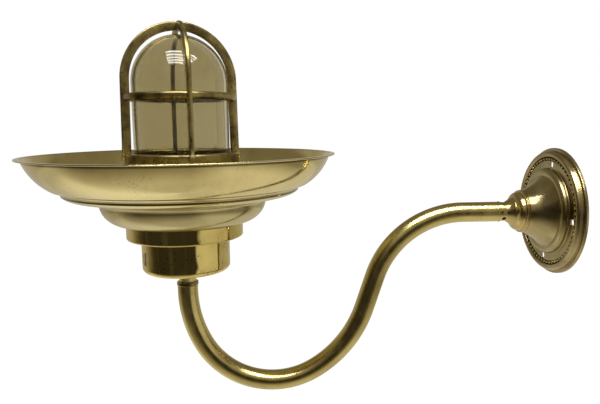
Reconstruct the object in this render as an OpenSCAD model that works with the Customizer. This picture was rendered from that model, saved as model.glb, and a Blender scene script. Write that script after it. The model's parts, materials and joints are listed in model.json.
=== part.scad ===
// Bulkhead wall light: a caged glass lamp in a wide stepped dish, carried by a swan-neck arm.
// The origin is the centre of the wall plate's back face. The wall is the plane Y = 0,
// the arm leaves it along -Y, and +Z is up.

/* [Wall plate] */
// Outer diameter of the wall plate
plate_d = 120.6; // [116:0.2:140]
// Thickness of the plate's metal
plate_wall = 2.2; // [1.6:0.1:2.6]
// Height of the thin outer lip above the wall
lip_h = 2.6; // [2:0.1:3.4]
// Width of the thin outer lip
lip_w = 3; // [2:0.1:4]
// Height of the rounded band above the wall
band_h = 8.4; // [7:0.1:10]
// Width of the rounded band
band_w = 5.6; // [4:0.1:7]
// Height of the flat ring that holds the screws
land_h = 6.2; // [5:0.1:7]
// Outer diameter of the bell where it rises from the flat ring
bell_d = 82; // [78:0.5:84]
// Diameter of the bell's neck
bell_neck_d = 40.8; // [38:0.2:44]
// Height of the bell's neck above the wall
bell_h = 32; // [30:0.5:38]
// Diameter of the circle of wall screws
screw_circle_d = 90; // [86:0.5:92]
// Number of wall screws
screw_count = 4; // [3:1:6]
// Diameter of a wall screw's hole
screw_hole_d = 6; // [4:0.1:6.4]
// Turn of the screw circle about its centre
screw_clock = -5; // [-30:1:30]

/* [Hub collar] */
// Diameter of the collar at its foot
collar_d = 41.2; // [38:0.2:46]
// Length of the collar in front of the bell
collar_len = 22; // [20:0.5:28]
// Diameter of the collar's front lip
collar_lip_d = 18.2; // [17.4:0.1:19]
// Length of the collar's front lip
collar_lip_len = 5; // [4:0.1:7]
// Length of the collar's foot and ball, up to its front cone
collar_ball_len = 10.5; // [10:0.1:12]
// Width of the shoulder between the ball and the front cone
collar_step_w = 7.6; // [7:0.1:8.4]
// Diameter of the threaded tail through the bell
collar_tail_d = 18; // [16.5:0.2:20]
// Width across flats of the nut behind the bell
back_nut_af = 24; // [22:0.5:27]
// Thickness of the nut behind the bell
back_nut_h = 5; // [4:0.5:7]
// Diameter of the grub screw
grub_d = 4; // [3:0.5:4.5]
// Direction of the grub screw round the collar
grub_angle = -41; // [-90:1:90]

/* [Arm] */
// Outer diameter of the tube
tube_d = 19; // [18:0.1:22]
// Wall of the tube
tube_wall = 1.4; // [1:0.1:1.8]
// Distance from the wall to the start of the first bend
arm_reach = 89.6; // [75:0.1:140]
// Radius of the bend next to the wall
bend_1_r = 89; // [60:1:110]
// Turn of the bend next to the wall
bend_1_a = 71.6; // [60:0.1:80]
// Length of the straight between the two bends
mid_len = 32.5; // [15:0.5:60]
// Radius of the bend after the slope
bend_2_r = 111; // [80:1:130]
// Turn of the bend after the slope
bend_2_a = 41.4; // [30:0.1:55]
// Radius of the lowest bend
bend_3_r = 77; // [60:1:100]
// Turn of the lowest bend
bend_3_a = 91; // [75:0.1:100]
// Radius of the bend under the lamp
bend_4_r = 109; // [80:1:140]
// Length of the upright end of the tube
end_len = 6; // [6:0.5:14]
// Diameter of the spigot that turns in the hub collar
spigot_d = 13; // [12:0.1:13.6]
// Bore of every passage for the cable
wire_bore_d = 8.4; // [8:0.1:9.4]
// Diameter of the thin ring where the tube meets the collar
spigot_ring_d = 19.6; // [19.2:0.1:24]
// Thickness of that thin ring
spigot_ring_h = 1.2; // [0.8:0.1:2]
// Depth of the spigot inside the tube
spigot_plug_len = 15; // [10:1:25]

/* [Lamp joint] */
// Diameter of the ring on the tube's lamp end
ferrule_d = 20.2; // [19.6:0.1:26]
// Height of that ring
ferrule_h = 3.6; // [2.5:0.1:6]
// Diameter of the nipple's bare neck
neck_d = 15.7; // [15:0.1:18]
// Length of the nipple's bare neck
neck_len = 12.1; // [6:0.1:20]
// Diameter of the nipple's threads
nipple_thread_d = 13; // [12:0.1:13.6]
// Width across flats of the lock nut in the base
locknut_af = 20; // [18:0.5:24]
// Thickness of the lock nut
locknut_h = 4; // [3:0.5:6]

/* [Base] */
// How far the lower step stands in from the threaded neck
lower_in = 7.4; // [6:0.1:8.4]
// Height of the lower step
lower_h = 32; // [30:0.5:45]
// Width of the upper step outside the threaded neck
upper_w = 5.5; // [4.5:0.1:8]
// Height of the upper step
upper_h = 14; // [10:0.5:16]
// Margin of the threaded neck round the glass's flange
neck_margin = 0.6; // [0.3:0.1:1]
// Height of the threaded neck above the upper step
screw_neck_h = 48; // [42:0.5:57]
// Thickness of the casting
cast_wall = 4; // [3.4:0.1:4.4]
// Radius of the base's lower edge
base_edge_r = 4.6; // [2:0.1:8]
// Diameter of the side entry's plug
plug_d = 12; // [9:0.5:16]
// Direction of the side entry, from +X towards +Y
plug_azimuth = -56; // [-90:1:-20]

/* [Dish] */
// Outer diameter of the dish
dish_d = 279.4; // [272:0.2:300]
// Thickness of the spun sheet
sheet = 1.2; // [0.9:0.05:1.6]
// Width of the flat lip
dish_lip_w = 4.9; // [3:0.1:8]
// Height of the whole dish above the base's upper step
dish_h = 62; // [59:0.5:67]
// Width of the small lower bowl outside the base's upper step
well_w = 22.2; // [20:0.1:23.4]
// Height of the small lower bowl
well_h = 21; // [17:0.5:23]
// Width of the step between the small bowl and the big bowl
step_w = 34.8; // [33:0.1:35.6]
// Height of the step under the big bowl
step_h = 34; // [32:0.5:37]
// Height of the ring nut that clamps the dish
shade_ring_h = 5; // [4:0.5:8]
// Width of the ring nut outside the threaded neck
shade_ring_w = 3.5; // [2.5:0.1:3.6]

/* [Glass] */
// Outer diameter of the glass
glass_d = 86; // [80:0.5:86.4]
// Thickness of the glass
glass_wall = 3.2; // [2.4:0.1:4]
// Height of the whole glass
glass_h = 118.5; // [112:0.5:119]
// Width of the glass's flange outside its body
flange_w = 4.4; // [3.6:0.1:5]
// Thickness of the glass's flange
flange_h = 5; // [4:0.5:6]
// Thickness of the gasket under the flange
seat_gasket_h = 2; // [1.5:0.1:3]
// Thickness of the gasket over the flange
lip_gasket_h = 1.5; // [1:0.1:2]

/* [Guard] */
// Wall of the guard's threaded ring
guard_ring_wall = 3.4; // [2.6:0.1:3.8]
// Length of that ring's skirt below the glass flange
skirt_len = 10; // [8:0.5:16]
// Height of the inward lip that presses on the glass
guard_lip_h = 7; // [4:0.5:10]
// Gap between the glass and the straps at the spring of the crown
cage_gap = 1; // [0.5:0.1:3]
// Height of the crown's centre above the base's lower face
crown_z = 174; // [172:0.5:182]
// Outward lean of the straps
strap_lean = 1; // [0.6:0.1:2]
// Depth of a strap, along the radius
strap_t = 8; // [6:0.2:8.4]
// Width of a strap, round the guard
strap_w = 4; // [3:0.2:6]
// Rounding of a strap's edges
strap_edge_r = 1.2; // [0.6:0.1:1.6]
// Turn of the guard about the lamp
guard_clock = 17.5; // [0:0.5:45]
// Height of the band's lower edge above the base's lower face
band_z = 156.2; // [135:0.2:164]
// Height of the band
guard_band_h = 6; // [4:0.5:9]
// Width of a strap's foot
foot_w = 6.4; // [5:0.2:10]
// Lift of the straps' feet below the guard ring's top
foot_drop = 5.5; // [3:0.5:9]

/* [Lamp holder] */
// Diameter of the porcelain's foot
holder_foot_d = 42; // [40:1:46]
// Diameter of the porcelain's body
holder_d = 35; // [34:0.5:40]
// Height of the porcelain
holder_h = 52; // [46:1:54]
// Inner diameter of the screw shell
shell_d = 26.5; // [26.2:0.1:27]
// Length of the screw shell
shell_len = 26; // [22:1:28]
// Thickness of the screw shell's metal
shell_wall = 0.6; // [0.5:0.1:0.8]
// Width of the bracket
bracket_w = 26; // [25:1:32]
// Thickness of the bracket
bracket_t = 2; // [1.5:0.1:3]

/* [Cable] */
// Diameter of the sheathed cable
flex_d = 7; // [6:0.1:7.6]
// Diameter of one core
core_d = 2.2; // [1.6:0.1:2.4]

/* [Fits] */
// Radial clearance of a turning or threaded fit
fit_clear = 0.08; // [0.03:0.01:0.1]
// Radial clearance between a part and the hole it passes through
pass_clear = 0.25; // [0.2:0.01:0.35]
// Gap left in a soldered or lapped seat
solder_gap = 0.05; // [0.02:0.01:0.1]

/* [Hidden] */
$fn = 96;
brass = "#b3924a";
dull_brass = "#8d7436";
big = 400;

// Walk along the arm
// A place on the arm is [y, z, heading in degrees]; heading 180 points away from the wall.
function walk_line(s, l) = [s[0] + l * cos(s[2]), s[1] + l * sin(s[2]), s[2]];
function bend_side(a) = a > 0 ? 1 : -1;
function bend_centre(s, r, a) = [s[0] - bend_side(a) * r * sin(s[2]), s[1] + bend_side(a) * r * cos(s[2])];
function walk_bend(s, r, a) =
    let (c = bend_centre(s, r, a), k = bend_side(a) * r, h = s[2] + a)
    [c[0] + k * sin(h), c[1] - k * cos(h), h];

hub_front = bell_h + collar_len;
tube_start = hub_front + spigot_ring_h;
bend_4_a = 90 + bend_1_a - bend_2_a - bend_3_a;
place_0 = [-tube_start, 0, 180];
place_1 = walk_line(place_0, arm_reach - tube_start);
place_2 = walk_bend(place_1, bend_1_r, bend_1_a);
place_3 = walk_line(place_2, mid_len);
place_4 = walk_bend(place_3, bend_2_r, -bend_2_a);
place_5 = walk_bend(place_4, bend_3_r, -bend_3_a);
place_6 = walk_bend(place_5, bend_4_r, -bend_4_a);
place_7 = walk_line(place_6, end_len);
tube_bore_d = tube_d - 2 * tube_wall;
seam_step = 0.02;
seam_len = 2;

// Diameters in the lamp, from the glass outwards
flange_d = glass_d + 2 * flange_w;
screw_neck_d = flange_d + 2 * neck_margin;
upper_d = screw_neck_d + 2 * upper_w;
lower_d = screw_neck_d - 2 * lower_in;
skirt_bore_d = screw_neck_d + 2 * fit_clear;
guard_ring_d = skirt_bore_d + 2 * guard_ring_wall;
crown_d = glass_d + 2 * (cage_gap + strap_t);

// Heights in the lamp, measured from the base's lower face
lamp_y = place_7[0];
base_z = place_7[1] + ferrule_h + neck_len;
shoulder_h = lower_h + upper_h;
neck_top_h = shoulder_h + screw_neck_h;
screw_neck_bore_d = screw_neck_d - 2 * cast_wall - 2;
lower_bore_d = lower_d - 2 * cast_wall;
ledge_h = lower_h + cast_wall;
glass_z = neck_top_h + seat_gasket_h;
lip_gasket_z = glass_z + flange_h;
guard_lip_z = lip_gasket_z + lip_gasket_h;
guard_ring_top = guard_lip_z + guard_lip_h;
guard_ring_low = neck_top_h - skirt_len;
foot_z = guard_ring_top - foot_drop;
holder_z = ledge_h + bracket_t;
holder_top = holder_z + holder_h;
shell_out_d = shell_d + 2 * shell_wall;
shell_z = holder_top - shell_len - 2;
washer_h = 1;
locknut_z = cast_wall + washer_h;
nipple_top = locknut_z + locknut_h + 2;
flex_end_h = nipple_top + 2;
contact_d = 8;
terminal_x = 6;
terminal_depth = 8;
bracket_end_r = screw_neck_bore_d / 2 - 0.5;
bracket_screw_r = (lower_bore_d + screw_neck_bore_d) / 4;
earth_r = lower_bore_d / 2 - 9;
tag_h = 1;
earth_head_d = 7.2;
bell_bore_d = collar_tail_d + 2 * fit_clear;

echo(lamp_y = lamp_y, base_z = base_z, tube_end = place_7, bend_4_a = bend_4_a,
     dish_rim_z = base_z + shoulder_h + dish_h, top = base_z + crown_z + crown_d / 2);

// Points of an arc about c, from angle a0 to a1
function arc(c, r, a0, a1, n = 10) = [for (i = [0 : n]) let (a = a0 + (a1 - a0) * i / n) c + r * [cos(a), sin(a)]];

// Unit normal to the left of an outline at point i
function left_normal(p, i) =
    let (a = p[max(i - 1, 0)], b = p[min(i + 1, len(p) - 1)], d = b - a)
    [-d[1], d[0]] / norm(d);

// An outline moved by t to its left, for sheet metal of even thickness
function beside(p, t) = [for (i = [0 : len(p) - 1]) p[i] + t * left_normal(p, i)];
function backwards(p) = [for (i = [len(p) - 1 : -1 : 0]) p[i]];

// Draws on the lamp's axis, h above the base's lower face
module at_lamp(h = 0) {
    translate([0, lamp_y, base_z + h]) children();
}

// Draws with local +Z along -Y, starting at the wall
module from_wall(t = 0) {
    translate([0, -t, 0]) rotate([90, 0, 0]) children();
}

module ring(od, id, h) {
    difference() {
        cylinder(d = od, h = h);
        translate([0, 0, -1]) cylinder(d = id, h = h + 2);
    }
}

module hex_nut(af, id, h) {
    difference() {
        cylinder(d = af / cos(30), h = h, $fn = 6);
        translate([0, 0, -1]) cylinder(d = id, h = h + 2);
    }
}

// Round rod along one straight or one bend, in the plane X = 0
module rod_line(s, l, d) {
    translate([0, s[0], s[1]]) rotate([s[2] - 90, 0, 0]) cylinder(d = d, h = l);
}

module rod_bend(s, r, a, d) {
    c = bend_centre(s, r, a);
    start = a > 0 ? s[2] - 90 : s[2] + 90 + a;
    translate([0, c[0], c[1]]) rotate([90, 0, 90]) rotate([0, 0, start])
        rotate_extrude(angle = abs(a)) translate([r, 0]) circle(d = d);
}

// A short zone of a ball over each place where a straight and a bend meet
module rod_seams(places, d) {
    for (s = places)
        translate([0, s[0], s[1]]) rotate([s[2] - 90, 0, 0]) intersection() {
            sphere(d = d + 2 * seam_step);
            cylinder(d = 2 * d, h = seam_len, center = true);
        }
}

module arm_rod(d, lead = 0, tail = 0) {
    rod_line(walk_line(place_0, -lead), arm_reach - tube_start + lead, d);
    rod_bend(place_1, bend_1_r, bend_1_a, d);
    rod_line(place_2, mid_len, d);
    rod_bend(place_3, bend_2_r, -bend_2_a, d);
    rod_bend(place_4, bend_3_r, -bend_3_a, d);
    rod_bend(place_5, bend_4_r, -bend_4_a, d);
    rod_line(place_6, end_len + tail, d);
    rod_seams([place_1, place_2, place_3, place_4, place_5, place_6], d);
}

// Wall plate, as outlines of radius and height above the wall
plate_r = plate_d / 2;
band_out_r = plate_r - lip_w;
band_in_r = band_out_r - band_w;
bead_w = 3.4;
bead_low = 0.9;
lip_edge_r = 0.8;
land_out_r = band_in_r - bead_w;
land_back_h = land_h - bead_low - plate_wall;
bell_r = bell_d / 2;
neck_r = bell_neck_d / 2;
shoulder_r = 5;
shoulder_c = [bell_r - shoulder_r, land_h + 1.2];
flare_r = 44.6;
flare_c = [neck_r + 41.7, bell_h + 14.6];
flare_low_a = 230;
flare_top_a = 202;
plate_front = concat(
    [[plate_r, 0], [plate_r, lip_h - lip_edge_r]],
    arc([plate_r - lip_edge_r, lip_h - lip_edge_r], lip_edge_r, 15, 90, 4),
    [[band_out_r + 0.5, lip_h], [band_out_r, lip_h + 0.5]],
    arc([(band_out_r + band_in_r) / 2, band_h - band_w / 2], band_w / 2, 0, 180, 10),
    [[band_in_r, land_h - bead_low], [land_out_r + 0.4, land_h - bead_low], [land_out_r, land_h]],
    [[bell_r + 0.6, land_h], [bell_r, land_h + 0.6]],
    arc(shoulder_c, shoulder_r, 0, 90, 7),
    arc(flare_c, flare_r, flare_low_a, flare_top_a, 9),
    [[neck_r, bell_h], [0, bell_h], [0, 0]]
);
plate_back = concat(
    [[plate_r - plate_wall, -1], [plate_r - plate_wall, lip_h - plate_wall / 2]],
    [[band_out_r - plate_wall, land_back_h], [band_out_r - plate_wall, land_back_h + 2]],
    [[band_in_r + 0.6, land_back_h + 2], [band_in_r - 0.6, land_back_h]],
    [[bell_r - plate_wall + 0.4, land_back_h], [bell_r - plate_wall, land_h]],
    arc(shoulder_c, shoulder_r - plate_wall, 0, 80, 5),
    arc(flare_c, flare_r + plate_wall, flare_low_a - 1, flare_top_a + 1, 8),
    [[neck_r - plate_wall, bell_h - plate_wall], [0, bell_h - plate_wall], [0, -1]]
);

module wall_plate() {
    color(brass) from_wall() difference() {
        rotate_extrude() polygon(plate_front);
        rotate_extrude() polygon(plate_back);
        translate([0, 0, bell_h - plate_wall - 1]) cylinder(d = bell_bore_d, h = plate_wall + 2);
        for (i = [0 : screw_count - 1])
            rotate([0, 0, 90 + screw_clock + i * 360 / screw_count])
                translate([screw_circle_d / 2, 0, -1]) cylinder(d = screw_hole_d, h = band_h + 2);
    }
}

// Hub collar
lip_r = collar_lip_d / 2;
lip_low = collar_len - collar_lip_len;
collar_r = collar_d / 2;
ogee_len = lip_low - collar_ball_len;
waist_r = collar_r - collar_step_w;
collar_outline = concat(
    [[collar_r - 0.4, 0], [collar_r, 0.4], [collar_r, 1.1], [collar_r - 0.7, 1.5], [collar_r - 0.3, 1.9]],
    [[collar_r - 0.3, 2.5], [collar_r - 2.2, 3], [collar_r - 2, 3.8]],
    arc([collar_r - 7.2, 3.8], 5.2, 12, 62, 5),
    [[waist_r + 1, collar_ball_len - 1.1], [waist_r, collar_ball_len - 0.8], [waist_r + 0.2, collar_ball_len - 0.1]],
    [for (i = [1 : 4]) [lip_r + (waist_r - lip_r) * pow(1 - i / 4, 1.3), collar_ball_len + ogee_len * i / 4]],
    [[lip_r, collar_len - 0.5], [lip_r - 0.5, collar_len]]
);
collar_tail_len = plate_wall + back_nut_h + 3;
grub_z = collar_len - collar_lip_len / 2;
grub_seat_r = spigot_d / 2 + 0.15;

module hub_collar() {
    color(brass) from_wall(bell_h) difference() {
        union() {
            rotate_extrude() polygon(concat([[0, 0]], collar_outline, [[0, collar_len]]));
            translate([0, 0, -collar_tail_len]) cylinder(d = collar_tail_d, h = collar_tail_len + 1);
        }
        translate([0, 0, -collar_tail_len - 1])
            cylinder(d = spigot_d + 2 * fit_clear, h = collar_len + collar_tail_len + 2);
        rotate([0, 0, grub_angle]) translate([0, 0, grub_z]) rotate([0, 90, 0])
            cylinder(d = grub_d + 2 * solder_gap, h = collar_d);
    }
}

module hub_back_nut() {
    color(dull_brass) from_wall(bell_h - plate_wall - back_nut_h)
        hex_nut(back_nut_af, collar_tail_d + 2 * solder_gap, back_nut_h);
}

module hub_grub_screw() {
    grub_len = lip_r - grub_seat_r - 0.5;
    color("#4b4234") from_wall(bell_h) rotate([0, 0, grub_angle])
        translate([grub_seat_r, 0, grub_z]) rotate([0, 90, 0]) difference() {
            cylinder(d = grub_d, h = grub_len);
            translate([0, 0, grub_len / 2]) cylinder(d = grub_d / 2, h = grub_len, $fn = 6);
        }
}

// Arm
module arm_spigot() {
    shank = collar_len + collar_tail_len;
    color(brass) from_wall(hub_front) difference() {
        union() {
            cylinder(d = spigot_ring_d, h = spigot_ring_h);
            translate([0, 0, spigot_ring_h - 0.1])
                cylinder(d = tube_bore_d - 2 * solder_gap, h = spigot_plug_len);
            translate([0, 0, -shank]) cylinder(d = spigot_d, h = shank + 0.1);
        }
        translate([0, 0, -shank - 1]) cylinder(d = wire_bore_d, h = shank + spigot_plug_len + 3);
    }
}

module arm_tube() {
    color(brass) difference() {
        arm_rod(tube_d);
        arm_rod(tube_bore_d, 1, 1);
    }
}

module arm_ferrule() {
    spigot_low = min(end_len, 6);
    color(dull_brass) at_lamp(-neck_len - ferrule_h) difference() {
        union() {
            cylinder(d = ferrule_d, h = ferrule_h);
            translate([0, 0, -spigot_low]) cylinder(d = tube_bore_d - 2 * solder_gap, h = spigot_low + 0.1);
        }
        translate([0, 0, -spigot_low - 1])
            cylinder(d = nipple_thread_d + 2 * solder_gap, h = spigot_low + ferrule_h + 2);
    }
}

module arm_nipple() {
    low = -neck_len - ferrule_h - 4;
    color(brass) at_lamp() difference() {
        union() {
            translate([0, 0, low]) cylinder(d = nipple_thread_d, h = nipple_top - low);
            translate([0, 0, -neck_len]) cylinder(d = neck_d, h = neck_len);
        }
        translate([0, 0, low - 1]) cylinder(d = wire_bore_d, h = nipple_top - low + 2);
    }
}

// Base
plug_z = lower_h / 2 - 1;
plug_face = sqrt(pow(lower_d / 2, 2) - pow(plug_d / 2, 2));

module at_plug() {
    at_lamp(plug_z) rotate([0, 0, plug_azimuth]) rotate([0, 90, 0]) children();
}

module base_outline() {
    r = lower_d / 2;
    polygon(concat(
        [[0, 0], [r - base_edge_r, 0]],
        arc([r - base_edge_r, base_edge_r], base_edge_r, -75, 0, 6),
        [[r, lower_h], [upper_d / 2 - 1.4, lower_h]],
        arc([upper_d / 2 - 1.4, lower_h + 1.4], 1.4, -60, 0, 3),
        [[upper_d / 2, shoulder_h], [screw_neck_d / 2, shoulder_h]],
        [[screw_neck_d / 2, neck_top_h - 0.6], [screw_neck_d / 2 - 0.6, neck_top_h], [0, neck_top_h]]
    ));
}

module base_body() {
    color(brass) difference() {
        at_lamp() rotate_extrude() base_outline();
        at_lamp(cast_wall) cylinder(d = lower_bore_d, h = lower_h);
        at_lamp(ledge_h) cylinder(d = screw_neck_bore_d, h = neck_top_h);
        at_lamp(-1) cylinder(d = nipple_thread_d + 2 * solder_gap, h = cast_wall + 2);
        at_plug() translate([0, 0, lower_bore_d / 2 - 4]) cylinder(d = plug_d + 2 * solder_gap, h = 14);
        for (k = [-1, 1])
            at_lamp(lower_h + 0.5) translate([k * bracket_screw_r, 0, 0]) cylinder(d = 3, h = cast_wall + 2);
        at_lamp(1) translate([0, -earth_r, 0]) cylinder(d = 4, h = cast_wall);
    }
}

module base_washer() {
    color("#9c3f2c") at_lamp(cast_wall) ring(locknut_af + 4, nipple_thread_d + 2 * pass_clear, washer_h);
}

module base_locknut() {
    color(dull_brass) at_lamp(locknut_z) hex_nut(locknut_af, nipple_thread_d + 2 * solder_gap, locknut_h);
}

module entry_plug() {
    plug_in = lower_bore_d / 2 + 0.4;
    color(dull_brass) at_plug() difference() {
        translate([0, 0, plug_in]) cylinder(d = plug_d, h = plug_face - plug_in);
        translate([-plug_d, -0.8, plug_face - 1.4]) cube([2 * plug_d, 1.6, 3]);
    }
}

// Dish
dish_r = dish_d / 2;
well_r = upper_d / 2 + well_w;
step_r = well_r + step_w;
hole_r = screw_neck_d / 2 + pass_clear;
well_arc = well_h;
step_arc = 14.3;
bowl_r = 48;
bowl_top_r = dish_r - dish_lip_w;
bowl_chord = [bowl_top_r - (step_r + 3.6), dish_h - 1.4 - (step_h + 0.6)];
bowl_half = norm(bowl_chord) / 2;
bowl_dir = bowl_chord / (2 * bowl_half);
bowl_mid = [step_r + 3.6, step_h + 0.6] + bowl_chord / 2;
bowl_centre = bowl_mid + sqrt(bowl_r * bowl_r - bowl_half * bowl_half) * [-bowl_dir[1], bowl_dir[0]];
bowl_a0 = atan2(step_h + 0.6 - bowl_centre[1], step_r + 3.6 - bowl_centre[0]);
bowl_a1 = atan2(dish_h - 1.4 - bowl_centre[1], bowl_top_r - bowl_centre[0]);
dish_outline = concat(
    [[hole_r, 0], [well_r - well_arc, 0]],
    arc([well_r - well_arc, well_arc], well_arc, -86, -4, 10),
    [[well_r + 1.4, well_h + 0.4]],
    [[step_r - step_arc - 6, step_h - 8.8]],
    arc([step_r - step_arc, step_h + 5.6], step_arc, -88, -28, 8),
    [[step_r, step_h]],
    arc(bowl_centre, bowl_r, bowl_a0, bowl_a1, 14),
    [[bowl_top_r + 1, dish_h - sheet], [dish_r, dish_h - sheet]]
);

module dish() {
    color(brass) at_lamp(shoulder_h)
        rotate_extrude() polygon(concat(dish_outline, backwards(beside(dish_outline, sheet))));
}

module shade_ring() {
    color(dull_brass) at_lamp(shoulder_h + sheet) difference() {
        ring(screw_neck_d + 2 * shade_ring_w, screw_neck_d + 2 * fit_clear, shade_ring_h);
        for (i = [0 : 3])
            rotate([0, 0, 45 + 90 * i])
                translate([screw_neck_d / 2 + shade_ring_w / 2, -shade_ring_h / 2, shade_ring_h / 2])
                    cube(shade_ring_h);
    }
}

// Glass and gaskets
module seat_gasket() {
    color("#2b2622") at_lamp(neck_top_h) ring(flange_d, screw_neck_bore_d + 0.8, seat_gasket_h);
}

module lip_gasket() {
    color("#2b2622") at_lamp(lip_gasket_z) ring(flange_d, glass_d + 1.6, lip_gasket_h);
}

module jar(r, h) {
    intersection() {
        union() {
            square([r, h - r]);
            translate([0, h - r]) circle(r);
        }
        square([big, big]);
    }
}

module glass() {
    color("#d8dcc8", 0.35) at_lamp(glass_z) rotate_extrude() difference() {
        union() {
            jar(glass_d / 2, glass_h);
            square([flange_d / 2, flange_h]);
        }
        translate([0, -glass_wall]) jar(glass_d / 2 - glass_wall, glass_h);
        square([glass_d / 2 - glass_wall, glass_wall]);
    }
}

// Guard
crown_r = crown_d / 2;
guard_band_t = strap_t / 2;
function strap_out_r(h) = crown_r / cos(strap_lean) + (crown_z - h) * tan(strap_lean);
band_mid_r = strap_out_r(band_z + guard_band_h / 2) - strap_t / 2;
foot_out_r = strap_out_r(foot_z) + 0.6;
strap_len = (crown_z - foot_z) / cos(strap_lean) + strap_t;

module guard_ring() {
    out_r = guard_ring_d / 2;
    color(dull_brass) at_lamp() rotate_extrude() difference() {
        union() {
            translate([0, guard_ring_low]) square([out_r, guard_ring_top - guard_ring_low - 1.5]);
            translate([0, guard_ring_low]) square([out_r - 1.5, guard_ring_top - guard_ring_low]);
            translate([out_r - 1.5, guard_ring_top - 1.5]) circle(1.5);
        }
        translate([-1, guard_ring_low - 1]) square([skirt_bore_d / 2 + 1, guard_lip_z - guard_ring_low + 1]);
        translate([-1, guard_ring_low - 1]) square([glass_d / 2 + 2.2, big]);
    }
}

module guard_band() {
    color(dull_brass) at_lamp(band_z)
        ring(2 * band_mid_r + guard_band_t, 2 * band_mid_r - guard_band_t, guard_band_h);
}

// A strap's section, less all round, with its long side along the radius
module strap_section(less = 0) {
    c = strap_edge_r;
    square([strap_t - 2 * c, strap_w - 2 * less], center = true);
    square([strap_t - 2 * less, strap_w - 2 * c], center = true);
    for (i = [-1, 1])
        for (j = [-1, 1])
            translate([i * (strap_t / 2 - c), j * (strap_w / 2 - c)]) circle(c - less);
}

// One bent strap, in the XZ plane, before it is let into its neighbours
module strap_blank() {
    translate([0, 0, crown_z]) rotate([90, 0, 0]) rotate([0, 0, strap_lean])
        rotate_extrude(angle = 180 - 2 * strap_lean) translate([crown_r - strap_t / 2, 0]) strap_section();
    for (k = [0, 1])
        mirror([k, 0, 0]) translate([0, 0, crown_z]) rotate([0, -strap_lean, 0])
            translate([crown_r - strap_t / 2, 0, -strap_len])
                linear_extrude(strap_len + 1) strap_section(solder_gap);
}

module strap_feet() {
    for (k = [0, 180])
        rotate([0, 0, k]) intersection() {
            translate([foot_out_r - strap_t, -foot_w / 2, foot_z]) cube([strap_t, foot_w, foot_drop + 3]);
            cylinder(r = foot_out_r, h = big);
        }
}

module guard_strap(turn, lap_over) {
    lap_z = crown_z + crown_r - strap_t / 2;
    at_lamp() rotate([0, 0, guard_clock + turn]) difference() {
        union() {
            strap_blank();
            strap_feet();
        }
        translate([-big, -big, foot_z - 2 * big]) cube(2 * big);
        cylinder(d = guard_ring_d + 2 * solder_gap, h = guard_ring_top + solder_gap);
        translate([0, 0, band_z - solder_gap])
            ring(2 * band_mid_r + guard_band_t + 2 * solder_gap,
                 2 * band_mid_r - guard_band_t - 2 * solder_gap, guard_band_h + 2 * solder_gap);
        translate([-strap_w / 2 - solder_gap, -strap_w, lap_z + (lap_over ? solder_gap / 2 - big : -solder_gap / 2)])
            cube([strap_w + 2 * solder_gap, 2 * strap_w, big]);
    }
}

module guard_hoop_front() {
    color(dull_brass) guard_strap(0, true);
}

module guard_hoop_side() {
    color(dull_brass) guard_strap(90, false);
}

// Lamp holder
module holder_bracket() {
    color("#b9b6a8") at_lamp(ledge_h) difference() {
        intersection() {
            cylinder(r = bracket_end_r, h = bracket_t);
            translate([-big / 2, -bracket_w / 2, -1]) cube([big, bracket_w, bracket_t + 2]);
        }
        translate([0, 0, -1]) cylinder(r = terminal_x + 3.5, h = bracket_t + 2);
        for (k = [-1, 1]) {
            translate([k * bracket_screw_r, 0, -1]) cylinder(d = 3.3, h = bracket_t + 2);
            translate([k * holder_d / 2 * 0.88, 0, -1]) cylinder(d = 3.3, h = bracket_t + 2);
        }
    }
}

module round_screw(d, head_d, head_h, len) {
    translate([0, 0, -len]) cylinder(d = d, h = len + 0.1);
    difference() {
        cylinder(d = head_d, h = head_h);
        translate([-head_d, -0.4, head_h - 0.8]) cube([2 * head_d, 0.8, 2]);
    }
}

module bracket_screws() {
    color("#c9b47a") at_lamp(holder_z)
        for (k = [-1, 1])
            translate([k * bracket_screw_r, 0, 0])
                round_screw(3 - 2 * solder_gap, 5.6, 2, bracket_t + cast_wall - 0.8);
}

module lamp_holder() {
    foot_h = 10;
    color("#e9e6dc") at_lamp(holder_z) difference() {
        union() {
            cylinder(d = holder_foot_d, h = foot_h);
            cylinder(d = holder_d, h = holder_h);
        }
        translate([0, 0, -1]) cylinder(r = terminal_x + 4.5, h = terminal_depth + 1);
        translate([0, 0, shell_z - holder_z])
            cylinder(d = shell_out_d + 2 * pass_clear, h = holder_h);
        translate([0, 0, terminal_depth - 1]) cylinder(d = 5.2, h = holder_h);
        for (k = [-1, 1]) {
            translate([k * holder_d / 2 * 0.88, 0, -1]) cylinder(d = 3.1, h = 9);
            translate([0, k * (terminal_x + 2.5), terminal_depth / 2]) rotate([-90 * k, 0, 0])
                cylinder(d = 3.4, h = holder_foot_d);
        }
    }
}

module screw_shell() {
    color("#c8a95a") at_lamp(shell_z) difference() {
        cylinder(d = shell_out_d, h = shell_len);
        translate([0, 0, shell_wall]) cylinder(d = shell_d, h = shell_len);
        translate([0, 0, -1]) cylinder(d = contact_d + 4, h = 3);
    }
}

module centre_contact() {
    stem_low = holder_z + terminal_depth + 0.4;
    color("#c8a95a") at_lamp() {
        translate([0, 0, stem_low]) cylinder(d = 5, h = shell_z - stem_low + shell_wall / 2);
        translate([0, 0, shell_z]) cylinder(d = contact_d, h = shell_wall);
    }
}

module holder_terminals() {
    color("#c8a95a") at_lamp(holder_z + terminal_depth - 6)
        for (k = [-1, 1])
            difference() {
                translate([-3, k * terminal_x - 2.4, 0]) cube([6, 4.8, 6]);
                translate([0, k * terminal_x, -1]) cylinder(d = core_d + 2 * solder_gap, h = 5);
                translate([0, k * terminal_x, terminal_depth / 2 - 2]) rotate([-90 * k, 0, 0])
                    cylinder(d = 2.5, h = 6);
            }
}

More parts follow.
